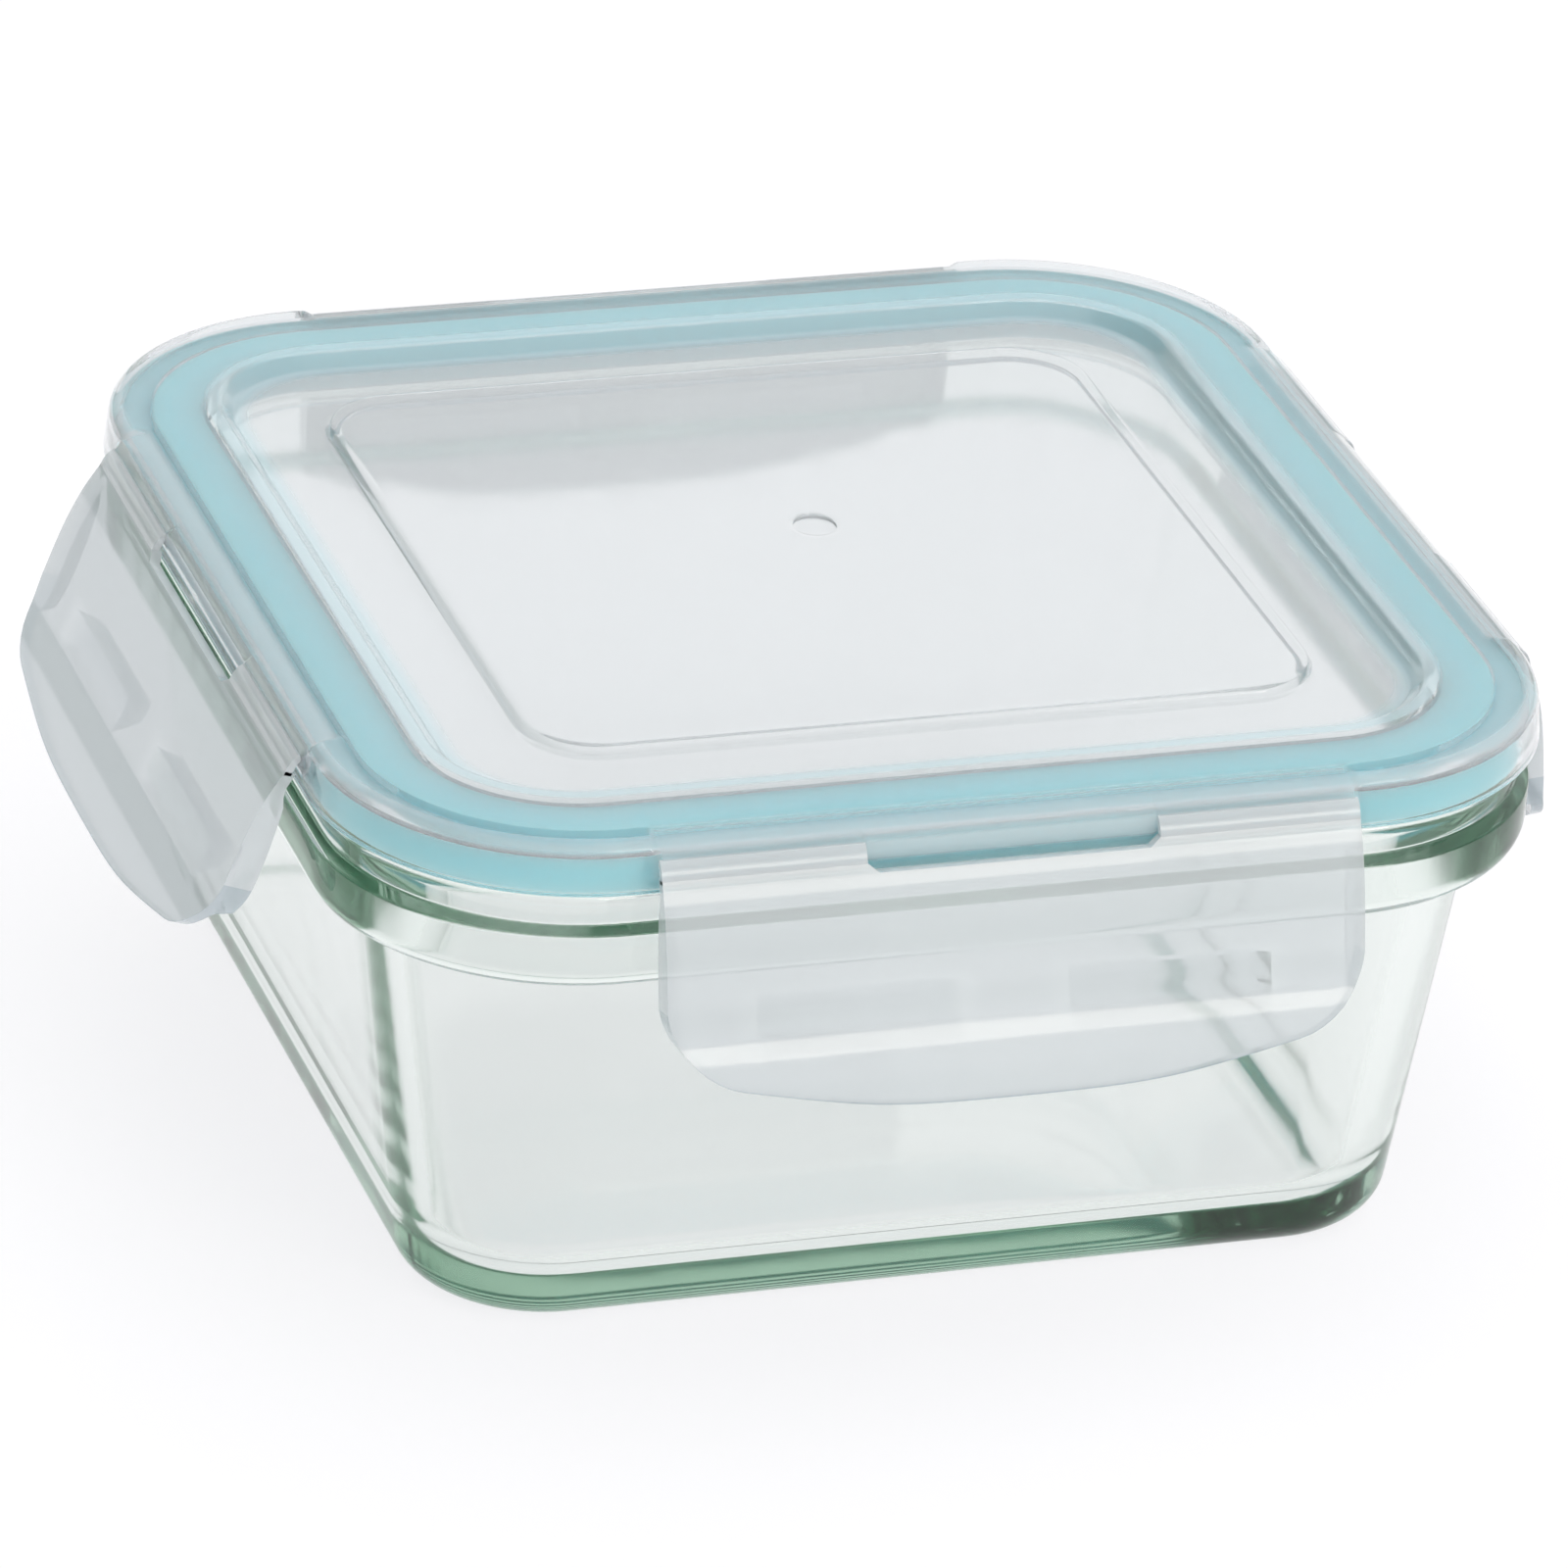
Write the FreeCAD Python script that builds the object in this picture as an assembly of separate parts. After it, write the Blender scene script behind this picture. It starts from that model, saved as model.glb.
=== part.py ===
import FreeCAD, Part
import math
import os

# Square glass storage container with a four-latch clip-on lid.
# Units are millimetres, +Z is up, and the origin is the centre of the underside.
# "across" is the distance from the centre plane to a straight side.
# Every rounded square shares one set of corner centres, so a corner's radius is
# its "across" less CORNER_CENTRE.

CORNER_CENTRE = 47.0

# glass dish
FOOT_ACROSS = 64.6              # where the tapered wall would meet the table
FOOT_ROUNDING = 5.5
WALL_TOP_ACROSS = 71.8          # outside of the wall, just under the rim
FLOOR_THICKNESS = 4.2
INSIDE_FLOOR_ACROSS = 59.4
INSIDE_RIM_ACROSS = 68.6
INSIDE_FLOOR_ROUNDING = 8.0
RIM_ACROSS = 78.4
RIM_UNDERSIDE = 53.4
RIM_TOP = 66.6
RIM_LOWER_ROUNDING = 3.4
RIM_UPPER_ROUNDING = 2.2
RIM_COVE = 1.6
RIM_NECK_ACROSS = 76.8          # the rim steps in a little above the bead that the latches grip
RIM_STEP_BOTTOM = 61.2
RIM_STEP_TOP = 62.2
RIM_STEP_ROUNDING = 0.5

# lid moulding
LID_TOP = 73.9
LID_SKIRT_BOTTOM = 66.9
LID_SKIRT_ACROSS = 79.2
LID_SHOULDER_ACROSS = 78.5
LID_SKIRT_INSIDE = 77.7
LID_EDGE_ROUNDING = 2.0
SKIRT_FOOT_ROUNDING = 0.5
RECESS_ROUNDING = 1.2
CHANNEL_TOP = 72.5              # the seal's channel, between the inner rib and the outer ledge
LEDGE_INSIDE = 73.2
LEDGE_OUTSIDE = 76.6
LEDGE_BOTTOM = 70.75
OUTER_GROOVE_TOP = 71.5
RIB_OUTSIDE = 66.1
RIB_INSIDE = 64.7
RIB_BOTTOM = 65.2
RIB_FOOT_ROUNDING = 0.4
RECESS_EDGE_ACROSS = 64.4
RECESS_FLOOR_ACROSS = 62.4
RECESS_FLOOR = 72.0
PANEL_UNDERSIDE = 70.7
RAISED_ACROSS = 51.2
RAISED_CORNER_RADIUS = 9.6
RAISED_HEIGHT = 1.3
RAISED_DRAFT = 0.6
GATE_RADIUS = 2.9
GATE_DEPTH = 0.45
GATE_CENTRE = (1.5, 3.3)

# latch platforms on the lid
PLATFORM_HALF_LENGTH = 44.6
PLATFORM_SLOPE_START = 74.4
PLATFORM_EDGE_ACROSS = 79.8
PLATFORM_EDGE_TOP = 71.6
PLATFORM_EDGE_BOTTOM = 70.4
PLATFORM_LEDGE_DEPTH = 1.0

# silicone seal
SEAL_INSIDE = 66.4
SEAL_OUTSIDE = 77.4
SEAL_TOP = 72.3
SEAL_BOTTOM = 66.65
SEAL_BAND_OUTSIDE = 73.0
SEAL_GROOVE_FLOOR = 70.55
SEAL_GROOVE_OUTSIDE = 76.8
SEAL_LIP_TOP = 71.3
SEAL_FOOT_ROUNDING = 0.5
SEAL_TOP_ROUNDING = 0.3

# latches, described as they stand when snapped shut
HINGE_ACROSS = 80.1
HINGE_HEIGHT = 70.5
LATCH_HALF_LENGTH = 44.6
LATCH_TOP = 69.4
LATCH_OUTER_LINE = [(80.9, 69.4), (81.9, 65.6), (82.5, 61.5), (82.75, 57.5), (82.9, 52.2),
                    (83.25, 49.4), (84.05, 46.6), (84.6, 43.6), (84.95, 39.0)]
LATCH_INNER_LINE = [(79.5, 69.4), (80.35, 65.4), (80.9, 61.4), (81.15, 57.4), (81.35, 52.0),
                    (81.75, 48.9), (82.6, 45.9), (83.15, 43.1), (83.6, 39.0)]
LATCH_FREE_EDGE_MIDDLE = 39.6
LATCH_FREE_EDGE_ENDS = 45.2
LATCH_FREE_EDGE_FLAT = 18.0
LATCH_FREE_EDGE_ROUNDING = 130.0
LATCH_CORNER_ROUNDING = 9.0
RETURN_THICKNESS = 1.3
RETURN_SECTION = [(80.4, 67.4), (79.3, 64.2), (79.2, 52.0), (81.0, 45.8), (83.5, 42.2),
                  (83.3, 46.2), (82.3, 50.5), (82.0, 57.5), (81.5, 65.5)]
SLOT_HALF_LENGTH = 18.7
SLOT_DROP = 1.2
SLOT_CHAMFER = 1.4
SLOT_ROUNDING = 0.6
SLOT_FACE_ACROSS = 79.4         # the platform's face inside the slot
RIDGE_TIP = 77.7
RIDGE_TOP = 53.9
RIDGE_BOTTOM = 50.1
RIDGE_ENDS = (7.4, 32.4)
RIDGE_ROOT = 81.7
RIDGE_TIP_ROUNDING = 0.5
RIDGE_UNDERCUT = 1.0            # how much lower the ridge is at its root

# living-hinge webs
WEB_TOP = 71.5
WEB_THICKNESS = 0.5
WEB_FOOT_INSIDE = 79.75

# side name: (turn about Z, how far the latch stands open in degrees)
SIDES = {"right": (0, 5.0), "back": (90, 5.0), "left": (180, 19.0), "front": (270, 12.0)}

UP = FreeCAD.Vector(0, 0, 1)
ORIGIN = FreeCAD.Vector(0, 0, 0)
BIG = 200.0                     # longer than the object, for cutting prisms


def upright(across, height):
    """A point in the section plane of the right-hand side."""
    return FreeCAD.Vector(across, 0, height)


def facing(along, height):
    """A point in the plane seen when facing the right-hand side."""
    return FreeCAD.Vector(0, along, height)


def rounded_face(corners, place):
    """A face whose corners are (first, second, rounding radius)."""
    arcs = []
    count = len(corners)
    for i, (a, b, radius) in enumerate(corners):
        here = place(a, b)
        if not radius:
            arcs.append((here, None, here))
            continue
        back = place(*corners[i - 1][:2]) - here
        ahead = place(*corners[(i + 1) % count][:2]) - here
        back.normalize()
        ahead.normalize()
        half = back.getAngle(ahead) / 2
        middle = back + ahead
        middle.normalize()
        reach = radius / math.tan(half)
        arcs.append((here + back * reach,
                     here + middle * (radius / math.sin(half) - radius),
                     here + ahead * reach))
    edges = []
    for i, (start, bend, end) in enumerate(arcs):
        if bend:
            edges.append(Part.Arc(start, bend, end).toShape())
        following = arcs[(i + 1) % count][0]
        if (following - end).Length > 1e-6:
            edges.append(Part.makeLine(end, following))
    return Part.Face(Part.Wire(edges))


def sharp(points):
    return [(a, b, 0) for a, b in points]


def turned(shape, degrees):
    copy = shape.copy()
    copy.rotate(ORIGIN, UP, degrees)
    return copy


def joined(shapes):
    return shapes[0].multiFuse(shapes[1:]).removeSplitter()


def swept_square(corners):
    """Carry a section right round the rounded square."""
    section = rounded_face(corners, upright)
    side = section.copy()
    side.translate(FreeCAD.Vector(0, -CORNER_CENTRE, 0))
    side = side.extrude(FreeCAD.Vector(0, 2 * CORNER_CENTRE, 0))
    corner = section.copy()
    corner.translate(FreeCAD.Vector(0, CORNER_CENTRE, 0))
    corner = corner.revolve(FreeCAD.Vector(CORNER_CENTRE, CORNER_CENTRE, 0), UP, 90)
    return [turned(piece, 90 * k) for k in range(4) for piece in (side, corner)]


def middle_block(bottom, top):
    size = 2 * CORNER_CENTRE
    return Part.makeBox(size, size, top - bottom,
                        FreeCAD.Vector(-CORNER_CENTRE, -CORNER_CENTRE, bottom))


def rounded_square_wire(across, radius, height):
    corners = [(across, across, radius), (-across, across, radius),
               (-across, -across, radius), (across, -across, radius)]
    return rounded_face(corners, lambda x, y: FreeCAD.Vector(x, y, height)).OuterWire


def tapered_block(lower, upper):
    """Solid between two rounded squares, each (across, radius, height)."""
    return Part.makeLoft([rounded_square_wire(*lower), rounded_square_wire(*upper)], True, True)


def along_side(corners, low, high):
    """Section of the right-hand side, carried along Y from low to high."""
    face = rounded_face(corners, upright)
    face.translate(FreeCAD.Vector(0, low, 0))
    return face.extrude(FreeCAD.Vector(0, high - low, 0))


def through_side(corners, near, far):
    """Outline seen facing the right-hand side, carried along X from near to far."""
    face = rounded_face(corners, facing)
    face.translate(FreeCAD.Vector(near, 0, 0))
    return face.extrude(FreeCAD.Vector(far - near, 0, 0))


def make_dish():
    wall_slope = (WALL_TOP_ACROSS - FOOT_ACROSS) / RIM_UNDERSIDE
    section = [
        (CORNER_CENTRE, 0, 0),
        (FOOT_ACROSS, 0, FOOT_ROUNDING),
        (FOOT_ACROSS + wall_slope * RIM_UNDERSIDE, RIM_UNDERSIDE, RIM_COVE),
        (RIM_ACROSS, RIM_UNDERSIDE, RIM_LOWER_ROUNDING),
        (RIM_ACROSS, RIM_STEP_BOTTOM, RIM_STEP_ROUNDING),
        (RIM_NECK_ACROSS, RIM_STEP_TOP, RIM_STEP_ROUNDING),
        (RIM_NECK_ACROSS, RIM_TOP, RIM_UPPER_ROUNDING),
        (INSIDE_RIM_ACROSS, RIM_TOP, RIM_COVE),
        (INSIDE_FLOOR_ACROSS, FLOOR_THICKNESS, INSIDE_FLOOR_ROUNDING),
        (CORNER_CENTRE, FLOOR_THICKNESS, 0),
    ]
    return joined([middle_block(0, FLOOR_THICKNESS)] + swept_square(section))


def make_lid():
    section = [
        (CORNER_CENTRE, PANEL_UNDERSIDE, 0),
        (RIB_INSIDE, PANEL_UNDERSIDE, 0),
        (RIB_INSIDE, RIB_BOTTOM, RIB_FOOT_ROUNDING),
        (RIB_OUTSIDE, RIB_BOTTOM, RIB_FOOT_ROUNDING),
        (RIB_OUTSIDE, CHANNEL_TOP, 0),
        (LEDGE_INSIDE, CHANNEL_TOP, 0),
        (LEDGE_INSIDE, LEDGE_BOTTOM, 0),
        (LEDGE_OUTSIDE, LEDGE_BOTTOM, 0),
        (LEDGE_OUTSIDE, OUTER_GROOVE_TOP, 0),
        (LID_SKIRT_INSIDE, OUTER_GROOVE_TOP, 0),
        (LID_SKIRT_INSIDE, LID_SKIRT_BOTTOM, 0),
        (LID_SKIRT_ACROSS, LID_SKIRT_BOTTOM, SKIRT_FOOT_ROUNDING),
        (LID_SHOULDER_ACROSS, LID_TOP, LID_EDGE_ROUNDING),
        (RECESS_EDGE_ACROSS, LID_TOP, RECESS_ROUNDING),
        (RECESS_FLOOR_ACROSS, RECESS_FLOOR, RECESS_ROUNDING),
        (CORNER_CENTRE, RECESS_FLOOR, 0),
    ]
    lid = joined([middle_block(PANEL_UNDERSIDE, RECESS_FLOOR)] + swept_square(section))

    radius = RAISED_CORNER_RADIUS
    top = RECESS_FLOOR + RAISED_HEIGHT
    wall = RECESS_FLOOR - PANEL_UNDERSIDE
    raised = tapered_block((RAISED_ACROSS + RAISED_DRAFT, radius + RAISED_DRAFT, RECESS_FLOOR),
                           (RAISED_ACROSS, radius, top))
    inset = wall - RAISED_DRAFT
    under = tapered_block((RAISED_ACROSS - inset, radius - inset, PANEL_UNDERSIDE),
                          (RAISED_ACROSS - wall, radius - wall, PANEL_UNDERSIDE + RAISED_HEIGHT))
    gate = Part.makeCylinder(GATE_RADIUS, RAISED_HEIGHT, FreeCAD.Vector(*GATE_CENTRE, top - GATE_DEPTH))
    lid = lid.fuse(raised).cut(under).cut(gate)

    end = PLATFORM_HALF_LENGTH
    slope = (PLATFORM_EDGE_TOP - LID_TOP) / (PLATFORM_EDGE_ACROSS - PLATFORM_SLOPE_START)
    skirt_middle = (LID_SKIRT_INSIDE + LID_SHOULDER_ACROSS) / 2
    shaving = sharp([(PLATFORM_SLOPE_START, LID_TOP), (PLATFORM_EDGE_ACROSS, PLATFORM_EDGE_TOP),
                     (PLATFORM_EDGE_ACROSS, BIG), (PLATFORM_SLOPE_START, BIG)])
    ledge = sharp([(skirt_middle, LID_TOP + slope * (skirt_middle - PLATFORM_SLOPE_START)),
                   (PLATFORM_EDGE_ACROSS, PLATFORM_EDGE_TOP), (PLATFORM_EDGE_ACROSS, PLATFORM_EDGE_BOTTOM),
                   (LID_SKIRT_ACROSS, PLATFORM_EDGE_BOTTOM - PLATFORM_LEDGE_DEPTH),
                   (skirt_middle, PLATFORM_EDGE_BOTTOM - PLATFORM_LEDGE_DEPTH)])
    slot = Part.makeBox(PLATFORM_EDGE_ACROSS, 2 * SLOT_HALF_LENGTH, LID_TOP,
                        FreeCAD.Vector(SLOT_FACE_ACROSS, -SLOT_HALF_LENGTH, 0))
    platform = along_side(ledge, -end, end).cut(slot)
    shaved = along_side(shaving, -end, end)
    for turn, _ in SIDES.values():
        lid = lid.cut(turned(shaved, turn)).fuse(turned(platform, turn))
    return lid.removeSplitter()


def make_seal():
    section = [
        (SEAL_INSIDE, SEAL_BOTTOM, SEAL_FOOT_ROUNDING),
        (SEAL_OUTSIDE, SEAL_BOTTOM, SEAL_FOOT_ROUNDING),
        (SEAL_OUTSIDE, SEAL_LIP_TOP, 0),
        (SEAL_GROOVE_OUTSIDE, SEAL_LIP_TOP, 0),
        (SEAL_GROOVE_OUTSIDE, SEAL_GROOVE_FLOOR, 0),
        (SEAL_BAND_OUTSIDE, SEAL_GROOVE_FLOOR, 0),
        (SEAL_BAND_OUTSIDE, SEAL_TOP, SEAL_TOP_ROUNDING),
        (SEAL_INSIDE, SEAL_TOP, SEAL_TOP_ROUNDING),
    ]
    return joined(swept_square(section))


def make_latch():
    """Right-hand latch as it stands when snapped shut."""
    length = LATCH_HALF_LENGTH
    plate = along_side(sharp(LATCH_OUTER_LINE + LATCH_INNER_LINE[::-1]), -length, length)
    returns = [along_side(sharp(RETURN_SECTION), low, low + RETURN_THICKNESS)
               for low in (-length, length - RETURN_THICKNESS)]
    ridge = [(RIDGE_TIP, RIDGE_TOP, RIDGE_TIP_ROUNDING), (RIDGE_ROOT, RIDGE_TOP, 0),
             (RIDGE_ROOT, RIDGE_BOTTOM - RIDGE_UNDERCUT, 0), (RIDGE_TIP, RIDGE_BOTTOM, RIDGE_TIP_ROUNDING)]
    near, far = RIDGE_ENDS
    ridges = [along_side(ridge, -far, -near), along_side(ridge, near, far)]
    latch = joined([plate] + returns + ridges)

    flat = LATCH_FREE_EDGE_FLAT
    outline = [
        (-length, LATCH_TOP, 0),
        (-length, LATCH_FREE_EDGE_ENDS, LATCH_CORNER_ROUNDING),
        (-flat, LATCH_FREE_EDGE_MIDDLE, LATCH_FREE_EDGE_ROUNDING),
        (flat, LATCH_FREE_EDGE_MIDDLE, LATCH_FREE_EDGE_ROUNDING),
        (length, LATCH_FREE_EDGE_ENDS, LATCH_CORNER_ROUNDING),
        (length, LATCH_TOP, 0),
        (SLOT_HALF_LENGTH, LATCH_TOP, 0),
        (SLOT_HALF_LENGTH - SLOT_CHAMFER, LATCH_TOP - SLOT_DROP, SLOT_ROUNDING),
        (SLOT_CHAMFER - SLOT_HALF_LENGTH, LATCH_TOP - SLOT_DROP, SLOT_ROUNDING),
        (-SLOT_HALF_LENGTH, LATCH_TOP, 0),
    ]
    return latch.common(through_side(outline, CORNER_CENTRE, BIG)).removeSplitter()


def opened(across, height, degrees):
    """Where a point of a shut latch goes when the latch stands open."""
    angle = math.radians(degrees)
    out, up = across - HINGE_ACROSS, height - HINGE_HEIGHT
    return (HINGE_ACROSS + out * math.cos(angle) - up * math.sin(angle),
            HINGE_HEIGHT + out * math.sin(angle) + up * math.cos(angle))


def make_web(degrees, low, high):
    """Thin strip from the platform's edge to the top of the latch."""
    section = sharp([
        (PLATFORM_EDGE_ACROSS, WEB_TOP),
        (PLATFORM_EDGE_ACROSS, WEB_TOP - WEB_THICKNESS),
        opened(WEB_FOOT_INSIDE, LATCH_TOP, degrees),
        opened(WEB_FOOT_INSIDE + WEB_THICKNESS, LATCH_TOP, degrees),
    ])
    return along_side(section, low, high)


def main():
    nodes = {"glass_dish": make_dish(), "lid_panel": make_lid(), "silicone_seal": make_seal()}
    shut = make_latch()
    for side, (turn, degrees) in SIDES.items():
        latch = shut.copy()
        latch.rotate(upright(HINGE_ACROSS, HINGE_HEIGHT), FreeCAD.Vector(0, -1, 0), degrees)
        nodes[side + "_latch"] = turned(latch, turn)
        spans = {"a": (-LATCH_HALF_LENGTH, -SLOT_HALF_LENGTH), "b": (SLOT_HALF_LENGTH, LATCH_HALF_LENGTH)}
        for end, (low, high) in spans.items():
            nodes[f"{side}_hinge_web_{end}"] = turned(make_web(degrees, low, high), turn)

    os.makedirs("parts", exist_ok=True)
    for name, shape in nodes.items():
        if len(shape.Solids) != 1 or not shape.isValid():
            raise ValueError(f"{name} is not one valid solid")
        shape.Solids[0].exportStep(f"parts/{name}.step")


main()
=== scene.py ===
import math
import bmesh
import bpy
from mathutils import Matrix, Vector


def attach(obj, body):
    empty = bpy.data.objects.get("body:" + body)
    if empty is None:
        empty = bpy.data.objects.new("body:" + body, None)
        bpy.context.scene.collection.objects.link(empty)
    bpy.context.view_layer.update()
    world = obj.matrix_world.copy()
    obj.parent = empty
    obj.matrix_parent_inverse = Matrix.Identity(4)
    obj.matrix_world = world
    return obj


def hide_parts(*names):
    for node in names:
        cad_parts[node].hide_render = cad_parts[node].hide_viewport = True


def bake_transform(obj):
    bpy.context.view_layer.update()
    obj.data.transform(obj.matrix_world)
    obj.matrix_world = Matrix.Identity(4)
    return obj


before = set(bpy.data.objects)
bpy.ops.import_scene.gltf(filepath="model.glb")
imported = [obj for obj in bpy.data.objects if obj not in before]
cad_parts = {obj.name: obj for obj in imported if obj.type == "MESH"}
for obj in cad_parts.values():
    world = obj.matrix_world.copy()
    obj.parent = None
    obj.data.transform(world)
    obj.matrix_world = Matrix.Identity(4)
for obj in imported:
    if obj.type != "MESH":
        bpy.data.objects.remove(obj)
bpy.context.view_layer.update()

# Lengths in the shape tables are millimetres; every mesh is made in metres.
# A loop is (across, corner radius, height): "across" is the distance from the centre
# plane to a straight side. Loops without their own radius share one corner centre.
# A section line is a list of (across, height), or of (across, height, radius, arc steps)
# where its corner is rounded.
MM = 0.001
CORNER_CENTRE = 47.0
QUARTERS = 4
QUARTER_TURN = math.pi / 2

# ---------------------------------------------------------------- camera and film

AZIMUTH, ELEVATION, ROLL = (math.radians(a) for a in (-19.45, 26.6, 3.89))
DISTANCE = 1.41013
TARGET = Vector((0, 0, 0.030))
OFFSET_RIGHT, OFFSET_UP = -0.00085, 0.00728
LENS, SENSOR, CLIP_END = 252.0, 36.0, 20
# light held in the glass by total internal reflection needs many bounces
BOUNCES, TRANSPARENT_BOUNCES = 48, 16

scene = bpy.context.scene
scene.view_settings.view_transform = "Standard"
scene.view_settings.look = "None"
scene.cycles.max_bounces = BOUNCES
scene.cycles.glossy_bounces = BOUNCES
scene.cycles.transmission_bounces = BOUNCES
scene.cycles.transparent_max_bounces = TRANSPARENT_BOUNCES


def make_camera():
    back = Vector((math.sin(AZIMUTH) * math.cos(ELEVATION),
                   -math.cos(AZIMUTH) * math.cos(ELEVATION), math.sin(ELEVATION)))
    right = Vector((math.cos(AZIMUTH), math.sin(AZIMUTH), 0))
    up = back.cross(right)
    across = math.cos(ROLL) * right + math.sin(ROLL) * up
    upward = math.cos(ROLL) * up - math.sin(ROLL) * right
    place = TARGET + back * DISTANCE + across * OFFSET_RIGHT + upward * OFFSET_UP
    data = bpy.data.cameras.new("camera")
    data.lens = LENS
    data.sensor_width = SENSOR
    data.clip_end = CLIP_END
    camera = bpy.data.objects.new("camera", data)
    rows = [[across[i], upward[i], back[i], place[i]] for i in range(3)]
    camera.matrix_world = Matrix(rows + [[0, 0, 0, 1]])
    scene.collection.objects.link(camera)
    scene.camera = camera


# ---------------------------------------------------------------- mesh helpers

def smoothstep(low, high, x):
    t = max(0.0, min(1.0, (x - low) / (high - low)))
    return t * t * (3 - 2 * t)


def line_point(start, end, share):
    return tuple(a + (b - a) * share for a, b in zip(start, end))


def rounded_line(corners, closed=False):
    """Points along a section line, with its rounded corners drawn as arcs."""
    points = []
    count = len(corners)
    for i, corner in enumerate(corners):
        here = Vector(corner[:2])
        at_end = not closed and i in (0, count - 1)
        if len(corner) == 2 or at_end:
            points.append(tuple(here))
            continue
        radius, steps = corner[2:]
        back = (Vector(corners[i - 1][:2]) - here).normalized()
        ahead = (Vector(corners[(i + 1) % count][:2]) - here).normalized()
        half = back.angle(ahead) / 2
        middle = (back + ahead).normalized()
        centre = here + middle * (radius / math.sin(half))
        start = here + back * (radius / math.tan(half)) - centre
        end = here + ahead * (radius / math.tan(half)) - centre
        sweep = math.atan2(start.x * end.y - start.y * end.x, start.dot(end))
        for k in range(steps + 1):
            turn = sweep * k / steps
            points.append((centre.x + start.x * math.cos(turn) - start.y * math.sin(turn),
                           centre.y + start.x * math.sin(turn) + start.y * math.cos(turn)))
    return points


def side_stations(breaks, pitch):
    """Places along a straight side, in millimetres, with extra ones at the breaks."""
    places = {-CORNER_CENTRE, CORNER_CENTRE}
    for place in breaks:
        places |= {place, -place}
    ordered = sorted(places)
    stations = []
    for a, b in zip(ordered, ordered[1:]):
        steps = max(1, round((b - a) / pitch))
        stations += [a + (b - a) * k / steps for k in range(steps)]
    return stations


def perimeter(pitch, corner_steps, breaks=()):
    """Stations right round: (quarter, place along the side or None, angle in the corner)."""
    ring = []
    for quarter in range(QUARTERS):
        ring += [(quarter, y, 0.0) for y in side_stations(breaks, pitch)]
        ring += [(quarter, None, QUARTER_TURN * k / corner_steps) for k in range(corner_steps)]
    return ring


def on_square(station, across, radius, height, shift=(0, 0)):
    """The point of a rounded-square loop at a station, with the loop's middle moved by shift."""
    quarter, y, angle = station
    centre = across - radius
    if y is None:
        a, b = centre + radius * math.cos(angle), centre + radius * math.sin(angle)
    else:
        a, b = across, centre * y / CORNER_CENTRE
    for _ in range(quarter):
        a, b = -b, a
    return Vector((a + shift[0], b + shift[1], height)) * MM


def shared(across, height):
    """A loop whose corners have the shared centre."""
    return lambda station: on_square(station, across, across - CORNER_CENTRE, height)


def own(across, radius, height, shift=(0, 0)):
    """A loop with a corner radius of its own."""
    return lambda station: on_square(station, across, radius, height, shift)


def ring_faces(loops, count, closed):
    faces = []
    total = loops if closed else loops - 1
    for j in range(total):
        upper = (j + 1) % loops
        for i in range(count):
            k = (i + 1) % count
            faces.append((j * count + i, j * count + k, upper * count + k, upper * count + i))
    return faces


def swept(ring, loops, closed=False):
    """Mesh through loops; each loop is a function from station to point. Open ends get a hub."""
    count = len(ring)
    verts = [loop(station) for loop in loops for station in ring]
    faces = ring_faces(len(loops), count, closed)
    if not closed:
        for j, flip in ((0, True), (len(loops) - 1, False)):
            first = j * count
            middle = sum((verts[first + i] for i in range(count)), Vector()) / count
            verts.append(middle)
            hub = len(verts) - 1
            for i in range(count):
                k = (i + 1) % count
                faces.append((first + k, first + i, hub) if flip else (first + i, first + k, hub))
    return verts, faces


def spaced(points, pitch):
    """The points of a line with others between them, no further apart than the pitch."""
    line = []
    for a, b in zip(points, points[1:]):
        steps = max(1, math.ceil(abs(b - a) / pitch))
        line += [a + (b - a) * k / steps for k in range(steps)]
    return line + [points[-1]]


def shade_evenly(piece):
    """Weight the normals by face size, so that flat faces look flat up to their rounded edges."""
    modifier = piece.modifiers.new("even_shading", "WEIGHTED_NORMAL")
    modifier.keep_sharp = True


def new_piece(name, verts, faces, material, body, stands_for, sharp=38, even=True, **levels):
    """Smooth-shaded object; each of levels is a vertex attribute that its material reads."""
    mesh = bpy.data.meshes.new(name)
    mesh.from_pydata([tuple(v) for v in verts], [], faces)
    mesh.validate()
    outward = bmesh.new()
    outward.from_mesh(mesh)
    bmesh.ops.recalc_face_normals(outward, faces=outward.faces)
    outward.to_mesh(mesh)
    outward.free()
    for level, values in levels.items():
        mesh.attributes.new(level, "FLOAT", "POINT").data.foreach_set("value", values)
    for polygon in mesh.polygons:
        polygon.use_smooth = True
    mesh.set_sharp_from_angle(angle=math.radians(sharp))
    mesh.materials.append(material)
    piece = bpy.data.objects.new(name, mesh)
    scene.collection.objects.link(piece)
    if even:
        shade_evenly(piece)
    if body:
        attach(piece, body)
    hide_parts(*stands_for)
    return piece


# ---------------------------------------------------------------- materials

GLASS_COLOUR, GLASS_DENSITY = (0.41, 0.66, 0.50), 14
GLASS_POLISHED, GLASS_DRAWN = 0.042, 0.13
# a darker grey-blue painted along each latch's lower edge: painted shade
PAINTED_EDGE_SHADE = (0.60, 0.67, 0.71)
# the seal's light blue, painted into the lid's colour where the seal would light it: painted light
PAINTED_SEAL_LIGHT = (0.60, 0.84, 0.90)
SILICONE_BLUES = (0.30, 0.79, 0.88), (0.34, 0.82, 0.90)
# surface relief, as (noise scale, noise detail, depth in metres), and the moulding streaks' stretch
GLASS_WAVES = 26, 2.0, 0.00006
PLASTIC_STREAKS, STREAK_STRETCH = (60, 3.0, 0.000012), (0.12, 0.12, 6.0)
PLASTIC_GRAIN = 900, 3.0, 0.000002
SILICONE_GRAIN = 1400, 2.0, 0.00001
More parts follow.
